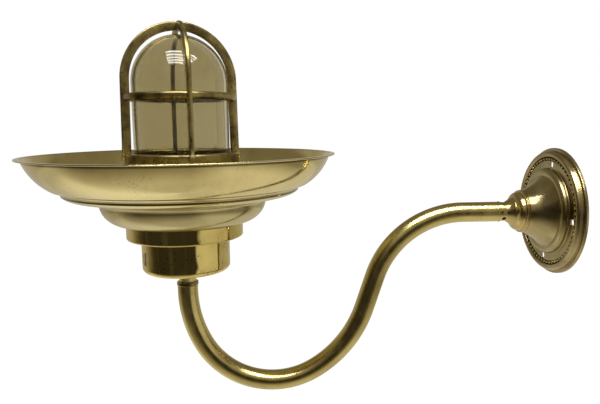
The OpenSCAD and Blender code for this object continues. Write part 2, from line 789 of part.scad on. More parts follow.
module terminal_screws() {
    color("#b9b6a8") at_lamp(holder_z + terminal_depth / 2)
        for (k = [-1, 1])
            translate([0, k * (terminal_x + core_d / 2 + 0.1), 0]) rotate([-90 * k, 0, 0])
                cylinder(d = 2.4, h = 6);
}

module holder_screws() {
    color("#c9b47a") at_lamp(ledge_h)
        for (k = [-1, 1])
            translate([k * holder_d / 2 * 0.88, 0, 0]) mirror([0, 0, 1]) round_screw(3, 5.6, 2, bracket_t + 7);
}

// Cable
core_offset = 2;
core_bend_r = 20;
core_start = 2;
flex_start = 14;
earth_bend_r = 5;

// A core from the cable's end up to its terminal, bending out along local +Y
module core_rise(turn) {
    reach = terminal_x - core_offset;
    a = acos(1 - reach / (2 * core_bend_r));
    rise_0 = [core_offset, 0, 90];
    rise_1 = walk_line(rise_0, core_start);
    rise_2 = walk_bend(rise_1, core_bend_r, -a);
    rise_3 = walk_bend(rise_2, core_bend_r, a);
    rise_end = holder_z + terminal_depth - 3 - flex_end_h;
    at_lamp(flex_end_h) rotate([0, 0, turn]) {
        rod_line(rise_0, core_start, core_d);
        rod_bend(rise_1, core_bend_r, -a, core_d);
        rod_bend(rise_2, core_bend_r, a, core_d);
        rod_line(rise_3, rise_end - rise_3[1], core_d);
        rod_seams([rise_1, rise_2, rise_3], core_d);
    }
}

// A core's free end behind the wall plate
module core_tail(turn) {
    from_wall(core_start) rotate([0, 0, turn]) translate([core_offset, 0, 0])
        cylinder(d = core_d, h = flex_start - core_start);
}

module mains_flex() {
    color("#d9d5c8") arm_rod(flex_d, tube_start - flex_start, ferrule_h + neck_len + flex_end_h);
}

module live_core() {
    color("#7a4a2b") {
        core_rise(0);
        core_tail(90);
    }
}

module neutral_core() {
    color("#3f6ea8") {
        core_rise(180);
        core_tail(210);
    }
}

// The earth core bends over and comes down on its tag
module earth_core() {
    over_0 = [core_offset, 0, 90];
    over_1 = walk_line(over_0, core_start);
    over_2 = walk_bend(over_1, earth_bend_r, -90);
    over_3 = walk_line(over_2, earth_r - core_offset - 2 * earth_bend_r);
    over_4 = walk_bend(over_3, earth_bend_r, -90);
    color("#6f9a3a") {
        at_lamp(flex_end_h) rotate([0, 0, 90]) {
            rod_line(over_0, core_start, core_d);
            rod_bend(over_1, earth_bend_r, -90, core_d);
            rod_line(over_2, over_3[0] - over_2[0], core_d);
            rod_bend(over_3, earth_bend_r, -90, core_d);
            rod_line(over_4, over_4[1] + flex_end_h - cast_wall - tag_h, core_d);
            rod_seams([over_1, over_2, over_3, over_4], core_d);
        }
        core_tail(330);
    }
}

module earth_tag() {
    color("#b9b6a8") at_lamp(cast_wall) difference() {
        union() {
            translate([0, -earth_r, 0]) cylinder(d = 9, h = tag_h);
            translate([-earth_r, 0, 0]) cylinder(d = 5, h = tag_h);
            rotate([0, 0, -135]) translate([earth_r / sqrt(2), 0, tag_h / 2])
                cube([4, earth_r * sqrt(2), tag_h], center = true);
        }
        translate([0, -earth_r, -1]) cylinder(d = 4.2, h = tag_h + 2);
    }
}

module earth_screw() {
    color("#c9b47a") at_lamp(cast_wall + tag_h) translate([0, -earth_r, 0])
        round_screw(4 - 2 * solder_gap, earth_head_d, 2.6, tag_h + cast_wall - 1.2);
}

wall_plate();
hub_collar();
hub_back_nut();
hub_grub_screw();
arm_spigot();
arm_tube();
arm_ferrule();
arm_nipple();
base_body();
base_washer();
base_locknut();
entry_plug();
dish();
shade_ring();
seat_gasket();
glass();
lip_gasket();
guard_ring();
guard_band();
guard_hoop_front();
guard_hoop_side();
holder_bracket();
bracket_screws();
lamp_holder();
screw_shell();
centre_contact();
holder_terminals();
terminal_screws();
holder_screws();
mains_flex();
live_core();
neutral_core();
earth_core();
earth_tag();
earth_screw();
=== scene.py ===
# %% [markdown]
# # A brass bulkhead light on a swan-neck arm
# The light is brass nearly all over: a stamped wall plate, a bent tube, a cast and turned base,
# a wide spun dish and a clear glass jar under a guard of two crossed straps.
# The exact solids come from the frame. This lesson gives them their real finishes, and it turns the
# polished pieces again as smooth meshes, because polished metal shows every facet.

import json
import math

import bmesh
import bpy
import numpy as np
from mathutils import Matrix, Vector


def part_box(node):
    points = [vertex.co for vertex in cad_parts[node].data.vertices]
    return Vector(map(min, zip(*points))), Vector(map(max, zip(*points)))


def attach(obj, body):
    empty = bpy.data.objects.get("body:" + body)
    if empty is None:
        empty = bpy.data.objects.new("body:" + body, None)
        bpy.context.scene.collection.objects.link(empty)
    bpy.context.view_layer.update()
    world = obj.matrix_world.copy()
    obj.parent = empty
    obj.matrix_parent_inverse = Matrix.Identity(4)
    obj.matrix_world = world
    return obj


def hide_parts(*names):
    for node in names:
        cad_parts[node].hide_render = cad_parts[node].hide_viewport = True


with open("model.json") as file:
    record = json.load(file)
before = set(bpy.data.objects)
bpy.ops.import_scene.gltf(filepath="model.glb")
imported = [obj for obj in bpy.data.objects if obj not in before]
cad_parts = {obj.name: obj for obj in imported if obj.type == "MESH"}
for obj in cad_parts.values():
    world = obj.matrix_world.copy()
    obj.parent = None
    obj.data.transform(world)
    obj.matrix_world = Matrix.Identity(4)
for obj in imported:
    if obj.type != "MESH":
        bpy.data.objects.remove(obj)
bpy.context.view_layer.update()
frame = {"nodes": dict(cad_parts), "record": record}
nodes = frame["nodes"]
MM = 0.001

# %% [markdown]
# ## Places read from the frame
# Every piece sits on one of two axes: the lamp's axis is upright, and the wall plate's axis leaves
# the wall. Reading them from the solids keeps the new meshes on the old seats.

# %% The two axes
base_low, base_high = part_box("base_body")
lamp_foot = Vector((0, (base_low.y + base_high.y) / 2, base_low.z))
wall_point = Vector((0, 0, 0))
print("lamp axis at y", round(lamp_foot.y, 5), "base foot at z", round(lamp_foot.z, 5))

# %% [markdown]
# ## The camera
# A camera is a place, a direction and a focal length. These were fitted to the rim of the dish, to
# the base and to the wall plate, so the render has the photograph's own perspective.


# %% Camera
def stand(name, data):
    """Puts a mesh, lamp or camera into the scene as an object."""
    placed = bpy.data.objects.new(name, data)
    bpy.context.scene.collection.objects.link(placed)
    return placed


camera_place = Vector((0.51263, -0.27408, 0.08437))
camera_right = Vector((0.05624, 0.99836, -0.01036))
camera_up = Vector((-0.13746, 0.01802, 0.99034))
camera_back = camera_right.cross(camera_up)
camera_data = bpy.data.cameras.new("camera")
camera_data.sensor_width = 36
camera_data.lens = 32.99
camera = stand("camera", camera_data)
camera_turn = Matrix((camera_right, camera_up, camera_back)).transposed().to_4x4()
camera.matrix_world = Matrix.Translation(camera_place) @ camera_turn
bpy.context.scene.camera = camera
bpy.context.scene.view_settings.view_transform = "Standard"
print("camera at", [round(v, 3) for v in camera_place])

# %% [markdown]
# ## Small tools
# A colour is written as a hex value, as a paint chart gives it, and turned to the linear light that
# the renderer works in. One helper adds a shader or geometry node with its settings and its links.


# %% Colour and node helpers
def linear(hex_colour):
    """Turns an sRGB hex colour to linear light, by the sRGB curve."""
    parts = [int(hex_colour[i : i + 2], 16) / 255 for i in (1, 3, 5)]
    return [c / 12.92 if c <= 0.04045 else ((c + 0.055) / 1.055) ** 2.4 for c in parts] + [1]


def add(tree, kind, inputs=None, **settings):
    """Adds a node. Each input is a value, or the socket of another node to link from."""
    made = tree.nodes.new(kind)
    for key, value in settings.items():
        setattr(made, key, value)
    for key, value in (inputs or {}).items():
        socket = made.inputs[key]
        if isinstance(value, bpy.types.NodeSocket):
            tree.links.new(value, socket)
        else:
            socket.default_value = value
    return made


def per(mm):
    """Texture scale for a pattern that repeats about every mm millimetres."""
    return 1 / (mm * MM)


def empty_tree(holder):
    """The node tree of a material or of the world, with nothing in it."""
    holder.use_nodes = True
    holder.node_tree.nodes.clear()
    return holder.node_tree


def start_material(name):
    """A new material: its tree, its one shader, and the place on the piece in metres."""
    material = bpy.data.materials.new(name)
    tree = empty_tree(material)
    shader = add(tree, "ShaderNodeBsdfPrincipled")
    add(tree, "ShaderNodeOutputMaterial", {"Surface": shader.outputs[0]})
    place = add(tree, "ShaderNodeTexCoord").outputs["Object"]
    return material, tree, shader, place


print("brass reads as", [round(v, 3) for v in linear("#c9b779")])

# %% [markdown]
# ## Brass that has been cleaned for years
# All the big pieces are polished yellow brass, copper with about a third of zinc. Its colour is only
# in its reflections, so it is a metal with no diffuse part. Three things make it look real: the
# polish is a little uneven, which bends the reflected room; a thin brown tarnish stays in patches;
# and a few small pits hold dirt. Each of these is a noise pattern with its size in millimetres.


# %% Patterns on metal
def clouds(tree, place, mm, detail, low, high, top=1.0, bottom=0.0):
    """Noise about mm wide that is bottom where it is under low, and top where it is over high."""
    soft = add(tree, "ShaderNodeTexNoise", {"Vector": place, "Scale": per(mm), "Detail": detail})
    limits = {"From Min": low, "From Max": high, "To Min": bottom, "To Max": top}
    return add(tree, "ShaderNodeMapRange", {"Value": soft.outputs["Fac"], **limits}).outputs[0]


def waves(tree, place, mm, lift_mm, detail=0):
    """The bent normal of a surface with low waves about mm wide, as a hand-held buff leaves them."""
    soft = add(tree, "ShaderNodeTexNoise", {"Vector": place, "Scale": per(mm), "Detail": detail})
    lift = {"Height": soft.outputs["Fac"], "Distance": lift_mm * MM, "Strength": 1}
    return add(tree, "ShaderNodeBump", lift).outputs[0]


def rounds(tree, place, centre, upright):
    """Distance from an axis, and height along it, for marks that run round a turned piece."""
    moved = add(tree, "ShaderNodeMapping", {"Vector": place, "Location": -centre})
    split = add(tree, "ShaderNodeSeparateXYZ", {"Vector": moved.outputs[0]})
    across = split.outputs["Y" if upright else "Z"]
    flat = add(tree, "ShaderNodeCombineXYZ", {"X": split.outputs["X"], "Y": across})
    radius = add(tree, "ShaderNodeVectorMath", {0: flat.outputs[0]}, operation="LENGTH")
    return radius.outputs["Value"], split.outputs["Z" if upright else "Y"]


def band(tree, radius, limits, soft_mm):
    """An amount that holds between two radii in mm and fades out over soft_mm at both."""
    inner, outer, amount = limits
    rise = {"From Min": inner * MM, "From Max": (inner + soft_mm) * MM}
    fall = {"From Min": outer * MM, "From Max": (outer - soft_mm) * MM, "To Max": amount}
    inside = add(tree, "ShaderNodeMapRange", {"Value": radius, **rise})
    outside = add(tree, "ShaderNodeMapRange", {"Value": radius, **fall})
    both = {0: inside.outputs[0], 1: outside.outputs[0]}
    return add(tree, "ShaderNodeMath", both, operation="MULTIPLY").outputs[0]


# %% Brass, and the marks of turning
def brass(name, clean, tarnish, rough, wave_mm, lift_mm, patch=0.4, specks=0.5, cloud_mm=26, pores=0.52):
    """Brass under a patchy tarnish, with groups of dark specks and a wavy, uneven polish."""
    material, tree, shader, place = start_material(name)
    thick = clouds(tree, place, mm=cloud_mm, detail=5, low=0.42, high=0.75, top=patch)
    skin = {"Factor": thick, "A": linear(clean), "B": linear(tarnish)}
    colour = add(tree, "ShaderNodeMix", skin, data_type="RGBA").outputs["Result"]
    # Specks come in groups, where the skin of the metal is open: a wide cloud decides where.
    spots = clouds(tree, place, mm=1.6, detail=2, low=0.6, high=0.68)
    groups = clouds(tree, place, mm=19, detail=1, low=pores, high=pores + 0.1, top=specks)
    grouped = add(tree, "ShaderNodeMath", {0: spots, 1: groups}, operation="MULTIPLY")
    pitted = {"Factor": grouped.outputs[0], "A": colour, "B": linear("#3a2d14")}
    colour = add(tree, "ShaderNodeMix", pitted, data_type="RGBA").outputs["Result"]
    satin = clouds(tree, place, mm=9, detail=2, low=0.3, high=0.7, top=rough * 1.3, bottom=rough * 0.75)
    tree.links.new(colour, shader.inputs["Base Color"])
    tree.links.new(satin, shader.inputs["Roughness"])
    tree.links.new(waves(tree, place, wave_mm, lift_mm), shader.inputs["Normal"])
    shader.inputs["Metallic"].default_value = 1
    return material


def turned_marks(material, centre, upright, ring_mm, ring_lift_mm, grime_and_shade_bands, grime_and_shade_colour="#382b14", haze=None):
    """Adds the tool's rings, dark bands of packed dirt and painted shade, and a dull haze. A band is (inner
    mm, outer mm, amount).
    """
    tree = material.node_tree
    shader = next(node for node in tree.nodes if node.type == "BSDF_PRINCIPLED")
    colour, satin, normal = (
        shader.inputs[name].links[0].from_socket for name in ("Base Color", "Roughness", "Normal")
    )
    place = add(tree, "ShaderNodeTexCoord").outputs["Object"]
    radius, along = rounds(tree, place, centre, upright)
    rings = add(tree, "ShaderNodeCombineXYZ", {"X": radius, "Y": along})
    fine = {"Vector": rings.outputs[0], "Scale": per(ring_mm), "Detail": 3}
    lines = add(tree, "ShaderNodeTexNoise", fine, noise_dimensions="2D")
    lift = {"Height": lines.outputs["Fac"], "Distance": ring_lift_mm * MM, "Normal": normal}
    ringed = add(tree, "ShaderNodeBump", lift)
    # Each dark band mixes in a dark colour: painted shade in a groove, with packed dirt as well where the
    # plate has it.
    for dark_band in grime_and_shade_bands:
        darkened = {"Factor": band(tree, radius, dark_band, soft_mm=0.4), "A": colour, "B": linear(grime_and_shade_colour)}
        colour = add(tree, "ShaderNodeMix", darkened, data_type="RGBA").outputs["Result"]
    # Where the haze is full, it adds 0.12 to the roughness.
    if haze:
        dulled = band(tree, radius, haze, soft_mm=3)
        greyed = {"Factor": dulled, "A": colour, "B": linear("#8f8a70")}
        colour = add(tree, "ShaderNodeMix", greyed, data_type="RGBA").outputs["Result"]
        rougher = {0: dulled, 1: 0.12, 2: satin}
        satin = add(tree, "ShaderNodeMath", rougher, operation="MULTIPLY_ADD").outputs[0]
    tree.links.new(colour, shader.inputs["Base Color"])
    tree.links.new(satin, shader.inputs["Roughness"])
    tree.links.new(ringed.outputs[0], shader.inputs["Normal"])


# %% Brass finishes
# Spun sheet: a soft polish, with the roller's rings round the lamp's axis, a dull, greyer small bowl, and
# painted shade in the groove at the step and under the lip.
spun_brass = brass(
    "spun polished brass", "#dccf98", "#b3a26c", rough=0.13, wave_mm=34, lift_mm=0.12, specks=0.25
)
turned_marks(
    spun_brass,
    lamp_foot,
    upright=True,
    ring_mm=5,
    ring_lift_mm=0.006,
    # Two thin bands of painted shade: one in the groove at the step, one in the corner under the lip.
    grime_and_shade_bands=[(105.3, 106.5, 0.6), (134, 135.6, 0.75)],
    haze=(52, 104, 0.45),
)
# Casting, turned and buffed by hand: a sharp polish over low waves, with open pores.
cast_brass = brass(
    "buffed cast brass", "#dcc97f", "#937c44", rough=0.07, wave_mm=9, lift_mm=0.26, specks=1, pores=0.45
)
# Drawn tube, rubbed along its length after bending: satin, with softer reflections than the castings.
tube_brass = brass("drawn brass tube", "#cabb7d", "#857443", rough=0.2, wave_mm=26, lift_mm=0.05, specks=0.3)
# Stamped and turned plate, browner: soft polish with rings round its axis, and a dark band round the beads,
# partly packed dirt and partly painted shade between them.
plate_brass = brass(
    "turned plate brass", "#ada076", "#716342", rough=0.22, wave_mm=22, lift_mm=0.03, patch=0.7
)
turned_marks(
    plate_brass,
    wall_point,
    upright=False,
    ring_mm=6,
    ring_lift_mm=0.002,
    # The band under the beads is packed dirt, and painted shade in the gaps between them.
    grime_and_shade_bands=[(48.1, 51.9, 1)],
    grime_and_shade_colour="#1d1609",
)
# Beads and collar share the plate's brass without its band of dirt and painted shade.
bead_brass = brass(
    "beaded plate brass", "#c2b07a", "#84734a", rough=0.17, wave_mm=18, lift_mm=0.02, specks=0.3
)
# The guard is a rough casting that nobody polishes: brown and satin.
guard_brass = brass(
    "tarnished cast brass",
    "#a99963",
    "#40361f",
    rough=0.3,
    wave_mm=4,
    lift_mm=0.04,
    patch=1,
    specks=0.9,
    cloud_mm=15,
    pores=0.48,
)
# Nuts and rings inside the lamp, left as they came from the lathe: dull, with a slightly uneven face.
plain_brass = brass("dull turned brass", "#c2b27a", "#7d6c40", rough=0.3, wave_mm=5, lift_mm=0.02)
# The nipple was never polished: pale and matt.
bare_brass = brass(
    "unpolished pale brass", "#f0e3b4", "#d2c590", rough=0.5, wave_mm=5, lift_mm=0.01, patch=0.3, specks=0.2
)
# Contacts are stamped from clean sheet and never touched: bright, with a fine satin.
contact_brass = brass(
    "clean stamped brass", "#dcc482", "#b39a58", rough=0.25, wave_mm=6, lift_mm=0.02, patch=0.2, specks=0.1
)
print("brass finishes", [m.name for m in bpy.data.materials if "brass" in m.name and m.node_tree])

# %% [markdown]
# ## Glass, and the quieter materials inside
# The jar is thick pressed glass with a faint olive tint. The rest hides inside the lamp: porcelain
# is white clay under a clear glaze, the gaskets are aged beige rubber, the small screws are zinc plated.


# %% Other finishes
def tinted_glass():
    """Pressed glass: clear and bright, a little wavy from its mould, with a film of dust in patches."""
    material, tree, shader, place = start_material("pressed olive glass")
    film = clouds(tree, place, mm=5, detail=4, low=0.4, high=0.9, top=0.05)
    tree.links.new(waves(tree, place, mm=16, lift_mm=0.05, detail=1), shader.inputs["Normal"])
    tree.links.new(film, shader.inputs["Roughness"])
    shader.inputs["Base Color"].default_value = linear("#beb595")
    shader.inputs["Transmission Weight"].default_value = 1
    shader.inputs["IOR"].default_value = 1.5
    return material


def quiet(name, colour, shade, rough, grain_mm, lift_mm=0.02, metallic=0.0, coat=0.0):
    """A plain finish with two close colours in small clouds and a fine grain."""
    material, tree, shader, place = start_material(name)
    grain = add(tree, "ShaderNodeTexNoise", {"Vector": place, "Scale": per(grain_mm), "Detail": 4})
    two_tones = {"Factor": grain.outputs["Fac"], "A": linear(colour), "B": linear(shade)}
    mixed = add(tree, "ShaderNodeMix", two_tones, data_type="RGBA")
    raised = add(tree, "ShaderNodeBump", {"Height": grain.outputs["Fac"], "Distance": lift_mm * MM})
    tree.links.new(mixed.outputs["Result"], shader.inputs["Base Color"])
    tree.links.new(raised.outputs[0], shader.inputs["Normal"])
    shader.inputs["Metallic"].default_value = metallic
    shader.inputs["Roughness"].default_value = rough
    shader.inputs["Coat Weight"].default_value = coat
    return material


olive_glass = tinted_glass()
# Rubber and fibre are matt: rubber with a fine grain, fibre mottled like pressed paper.
rubber = quiet("aged beige rubber", "#8d8462", "#766d50", rough=0.7, grain_mm=1.5)
fibre = quiet("red vulcanised fibre", "#6e2a20", "#8a3b2b", rough=0.7, grain_mm=0.8)
# Porcelain has a soft white body, and its gloss comes from the glaze over it.
porcelain = quiet("glazed porcelain", "#efece2", "#e2ddd0", rough=0.35, grain_mm=9, coat=0.8)
# Zinc gives steel a pale grey satin. Blackening leaves it dark, with a dull shine.
zinc_steel = quiet(
    "zinc plated steel", "#c9c7bd", "#a9a79c", rough=0.32, grain_mm=2, lift_mm=0.01, metallic=1
)
dark_steel = quiet("blackened steel", "#3a342b", "#251f18", rough=0.4, grain_mm=1.2, metallic=1)
# Cable plastic is smooth and even, with the sheen of a moulded skin.
sheath = quiet("grey cable sheath", "#cfcbc0", "#b9b4a7", rough=0.55, grain_mm=4)
brown_core = quiet("brown core insulation", "#5c3320", "#6b3d27", rough=0.45, grain_mm=3)
blue_core = quiet("blue core insulation", "#2d5f9e", "#264f86", rough=0.45, grain_mm=3)
green_core = quiet("green core insulation", "#5f8f35", "#4f7d2c", rough=0.45, grain_mm=3)
print("other finishes made", len(bpy.data.materials))

# %% [markdown]
# ## Finishes for the solids that stay
# Each solid of the frame names a material slot in its record. One table turns slots into finishes.

# %% Paint the frame
finish_of_slot = {
    "brass": cast_brass,
    "guard_brass": guard_brass,
    "plain_brass": plain_brass,
    "contact_brass": contact_brass,
    "clear_glass": olive_glass,
    "rubber": rubber,
    "fibre": fibre,
    "porcelain": porcelain,
    "zinc_steel": zinc_steel,
    "dark_steel": dark_steel,
    "flex_sheath": sheath,
    "core_brown": brown_core,
    "core_blue": blue_core,
    "core_green": green_core,
}
for part in frame["record"]["subparts"]:
    solid = nodes[part["node"]]
    solid.material_slots[0].material = finish_of_slot[part["material_slot"]]

# %% [markdown]
# ## Turning an outline on a lathe
# Most of this lamp is round: it came off a lathe or a spinning chuck. Blender's Screw modifier could
# spin a curve, but a few lines of mesh code give clean rings, closed poles and one outline per piece.
# An outline is a list of (radius, height) points in millimetres. A third number rounds that corner.


# %% Outlines
def arc(centre, radius, start, end, steps=12):
    """Points of an arc, with angles in degrees from the outward direction."""
    angles = [math.radians(start + (end - start) * i / steps) for i in range(steps + 1)]
    return [(centre[0] + radius * math.cos(a), centre[1] + radius * math.sin(a)) for a in angles]


def soften(outline, steps=4):
    """Replaces each corner that has a third number by a small arc of about that radius."""
    smooth = []
    for i, point in enumerate(outline):
        corner = Vector(point[:2])
        if len(point) < 3:
            smooth.append(tuple(corner))
            continue
        before = Vector(outline[i - 1][:2]) - corner
        after = Vector(outline[(i + 1) % len(outline)][:2]) - corner
        reach = min(point[2], before.length / 2, after.length / 2)
        first, last = corner + before.normalized() * reach, corner + after.normalized() * reach
        for k in range(steps + 1):
            t = k / steps
            smooth.append(tuple(first * (1 - t) ** 2 + corner * 2 * t * (1 - t) + last * t * t))
    return smooth


def hold(outline, near=0.35):
    """Adds a point close to each end of every long straight run, so that its shading stays straight."""
    held = []
    for point, nxt in zip(outline, outline[1:] + outline[:1]):
        first, last = Vector(point), Vector(nxt)
        held.append(tuple(first))
        run = (last - first).length
        if run > 5 * near:
            held.extend((tuple(first.lerp(last, near / run)), tuple(last.lerp(first, near / run))))
    return held


print("a softened corner takes", len(soften([(0, 0), (9, 0, 1), (9, 9)])) - 2, "points")

# %% The lathe
sharp_angle = math.radians(35)
on_axis = 1e-6


def finish_mesh(name, shape):
    """Makes a piece of a shape, smooth but for edges that are sharper than sharp_angle."""
    mesh = bpy.data.meshes.new(name)
    shape.to_mesh(mesh)
    shape.free()
    mesh.shade_smooth()
    mesh.set_sharp_from_angle(angle=sharp_angle)
    return stand(name, mesh)


def turn(name, outline, centre, upright=True, steps=192):
    """Spins a closed outline round the axis through centre."""
    shape = bmesh.new()
    outline = hold(outline)
    rings = []
    for radius, height in outline:
        if radius < on_axis:
            spots = [(0, 0)]
        else:
            spins = [2 * math.pi * k / steps for k in range(steps)]
            spots = [(radius * math.cos(a), radius * math.sin(a)) for a in spins]
        ring = []
        for x, side in spots:
            local = Vector((x, side, height)) if upright else Vector((x, -height, side))
            ring.append(shape.verts.new(centre + local * MM))
        rings.append(ring)
    for ring, nxt in zip(rings, rings[1:] + rings[:1]):
        if len(ring) == 1 and len(nxt) == 1:
            continue
        for k in range(steps):
            here, there = [ring[i % len(ring)] for i in (k, k + 1)], [nxt[i % len(nxt)] for i in (k + 1, k)]
            shape.faces.new(list(dict.fromkeys(here + there)))
    bmesh.ops.recalc_face_normals(shape, faces=shape.faces)
    return finish_mesh(name, shape)


# %% Fitting a piece in place
def fit(piece, material, body, slot, *stands_for):
    """Gives a new piece its finish, its body and the solids it stands for, which it hides. The slot is not
    used.
    """
    piece.data.materials.clear()
    piece.data.materials.append(material)
    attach(piece, body)
    if stands_for:
        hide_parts(*stands_for)
    low, high = Vector(piece.bound_box[0]), Vector(piece.bound_box[6])
    print(piece.name, "size in mm", [round(v / MM, 1) for v in high - low], len(piece.data.polygons), "faces")


# %% [markdown]
# ## The dish
# The reflector is spun from one sheet: a small bowl, a step and a wide bowl, with a thin flat lip.
# Its underside faces the camera and carries most of the picture, so its arcs have many points.


# %% Sheet metal
def beside(line, gap):
    """The same line moved by gap to its left, for sheet metal of even thickness."""
    moved = []
    for i, point in enumerate(line):
        ahead = Vector(line[min(i + 1, len(line) - 1)][:2]) - Vector(line[max(i - 1, 0)][:2])
        left = Vector((-ahead.y, ahead.x)).normalized()
        moved.append((point[0] + gap * left.x, point[1] + gap * left.y))
    return moved


# %% Dish outline
dish_low, dish_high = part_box("dish")
sheet = 1.2
dish_r = (dish_high.y - dish_low.y) / 2 / MM
dish_h = (dish_high.z - dish_low.z) / MM
dish_foot = Vector((0, lamp_foot.y, dish_low.z))
hole_r, well_r, well_h, step_r, step_h, lip_w, lip_in = 48.25, 75.7, 21, 110.5, 34, 4.9, 0.5
well_arc, step_arc, bowl_arc = 21, 14.3, 48
bowl_from = Vector((step_r + 3.6, step_h + 0.6))
bowl_to = Vector((dish_r - lip_w, dish_h - sheet - 0.2))
chord = bowl_to - bowl_from
rise = math.sqrt(bowl_arc**2 - (chord.length / 2) ** 2)
bowl_centre = (bowl_from + bowl_to) / 2 + Vector((-chord.y, chord.x)).normalized() * rise
bowl_start = math.degrees(math.atan2(bowl_from.y - bowl_centre.y, bowl_from.x - bowl_centre.x))
bowl_end = math.degrees(math.atan2(bowl_to.y - bowl_centre.y, bowl_to.x - bowl_centre.x))
underside = soften(
    [(hole_r, 0)]
    + arc((well_r - well_arc, well_arc), well_arc, -90, -6, 24)
    + [(well_r + 0.8, well_h - 0.3, 1.5), (step_r - step_arc - 2, step_h - 8.4, 3)]
    + arc((step_r - step_arc, step_h + 5.6), step_arc, -82, -50, 8)
    + [(step_r - 4.6, step_h - 4.9), (step_r - 4.3, step_h - 3, 0.5), (step_r - 0.5, step_h - 0.5, 1)]
    + arc(bowl_centre, bowl_arc, bowl_start, bowl_end, 30)
    + [(dish_r - lip_w + 1, dish_h - sheet, 0.6)]
    + [(dish_r - lip_in, dish_h - sheet)]
)
inside = beside(underside, sheet)
inside[0] = (hole_r, sheet)
inside[-1] = (dish_r - lip_in, dish_h)
lip_edge = arc((dish_r - sheet / 2, dish_h - sheet / 2), sheet / 2, -70, 70, 6)
print("bowl runs from", round(bowl_start, 1), "to", round(bowl_end, 1), "degrees round its centre")

# %% Dish
dish = turn("dish_spun", underside + lip_edge + inside[::-1], dish_foot)
fit(dish, spun_brass, "arm", "brass", "dish")

# %% [markdown]
# ## The base
# Two cast steps carry the dish, and a threaded neck runs on up into the guard. The thread is a
# helix: each point of the neck moves inwards by an amount that depends on its height and its turn.


# %% A drill
def rod(radius, low, high):
    """The outline of a solid rod, for tools that cut holes."""
    return [(0, low), (radius, low), (radius, high), (0, high)]


def settle(piece):
    """Makes what a piece's modifier shows its own plain mesh, and takes the modifier off."""
    depsgraph = bpy.context.evaluated_depsgraph_get()
    mesh = bpy.data.meshes.new_from_object(piece.evaluated_get(depsgraph))
    piece.modifiers.clear()
    piece.data = mesh
    return mesh


def cut(piece, tool):
    """Takes the tool's volume out of a piece, as a drill does."""
    saw = piece.modifiers.new("cut", "BOOLEAN")
    saw.object = tool
    saw.solver = "EXACT"
    mesh = settle(piece)
    bpy.data.objects.remove(tool)
    mesh.set_sharp_from_angle(angle=sharp_angle)


# %% Base outline
base_r, upper_r, neck_r, edge_r = 40.6, 53.5, 48, 4.6
lower_h, shoulder_h, neck_h, cast_wall = 32, 46, 94, 4
nipple_hole_r, lower_bore_r, neck_bore_r = 6.55, 36.6, 43
thread_low, thread_high, thread_step, pitch, thread_depth = 54, 92, 0.3, 3, 0.9
thread_rings = int((thread_high - thread_low) / thread_step) + 1
neck_rings = [(neck_r, thread_low + thread_step * k) for k in range(thread_rings)]
base_outline = soften(
    [(nipple_hole_r, 0), (base_r - edge_r, 0)]
    + arc((base_r - edge_r, edge_r), edge_r, -86, 0, 10)
    + [(base_r, lower_h, 0.5), (upper_r, lower_h, 1.6), (upper_r, shoulder_h, 0.5)]
    + [(neck_r, shoulder_h), *neck_rings, (neck_r, neck_h, 0.6), (neck_bore_r, neck_h, 0.4)]
    + [(neck_bore_r, lower_h + cast_wall), (lower_bore_r, lower_h + cast_wall)]
    + [(lower_bore_r, cast_wall), (nipple_hole_r, cast_wall)]
)
print("thread of", (thread_high - thread_low) / pitch, "turns on", thread_rings, "rings")

# %% Base, with its thread
neck_skin = 1.2
base = turn("base_cast", base_outline, lamp_foot)
for v in base.data.vertices:
    local = (v.co - lamp_foot) / MM
    radius = math.hypot(local.x, local.y)
    if radius > neck_r - neck_skin and thread_low < local.z < thread_high:
        spin = math.atan2(local.y, local.x) / (2 * math.pi)
        wave = abs(((local.z / pitch - spin) % 1) - 0.5) * 2
        fade = min(1, (local.z - thread_low) / pitch, (thread_high - local.z) / pitch)
        keep = 1 - thread_depth * wave * fade / radius
        v.co.x, v.co.y = local.x * keep * MM, lamp_foot.y + local.y * keep * MM

# %% Hole for the plug
plug_low, plug_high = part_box("entry_plug")
plug_turn, plug_r, plug_in, plug_depth = math.radians(-56), 6.05, 33, 12
plug_h = ((plug_low.z + plug_high.z) / 2 - lamp_foot.z) / MM
drill = turn("drill", rod(plug_r, 0, plug_depth), Vector((0, 0, 0)), steps=64)
aim = Matrix.Translation(lamp_foot + Vector((0, 0, plug_h * MM))) @ Matrix.Rotation(plug_turn, 4, "Z")
drill.data.transform(aim @ Matrix.Rotation(math.pi / 2, 4, "Y") @ Matrix.Translation((0, 0, plug_in * MM)))
cut(base, drill)
fit(base, cast_brass, "arm", "brass", "base_body")

# %% [markdown]
# ## The joint under the base
# A short nipple screws into the base, and a ring on the tube's end closes the joint.

# %% Ferrule
tube_in, thread_r, wire_r, solder_gap, sleeve_h = 8.05, 6.5, 4.2, 0.05, 6
ring_r, ring_h, bare_r, bare_h = 10.1, 3.6, 7.85, 12.1
ferrule_outline = soften(
    [(thread_r + solder_gap, -sleeve_h), (tube_in, -sleeve_h, 0.4), (tube_in, 0), (ring_r, 0, 0.8)]
    + [(ring_r, ring_h, 1.1), (thread_r + solder_gap, ring_h, 0.2)]
)
ferrule_foot = Vector((0, lamp_foot.y, lamp_foot.z - (ring_h + bare_h) * MM))
ferrule = turn("ferrule_ring", ferrule_outline, ferrule_foot, steps=96)
fit(ferrule, guard_brass, "arm", "guard_brass", "arm_ferrule")

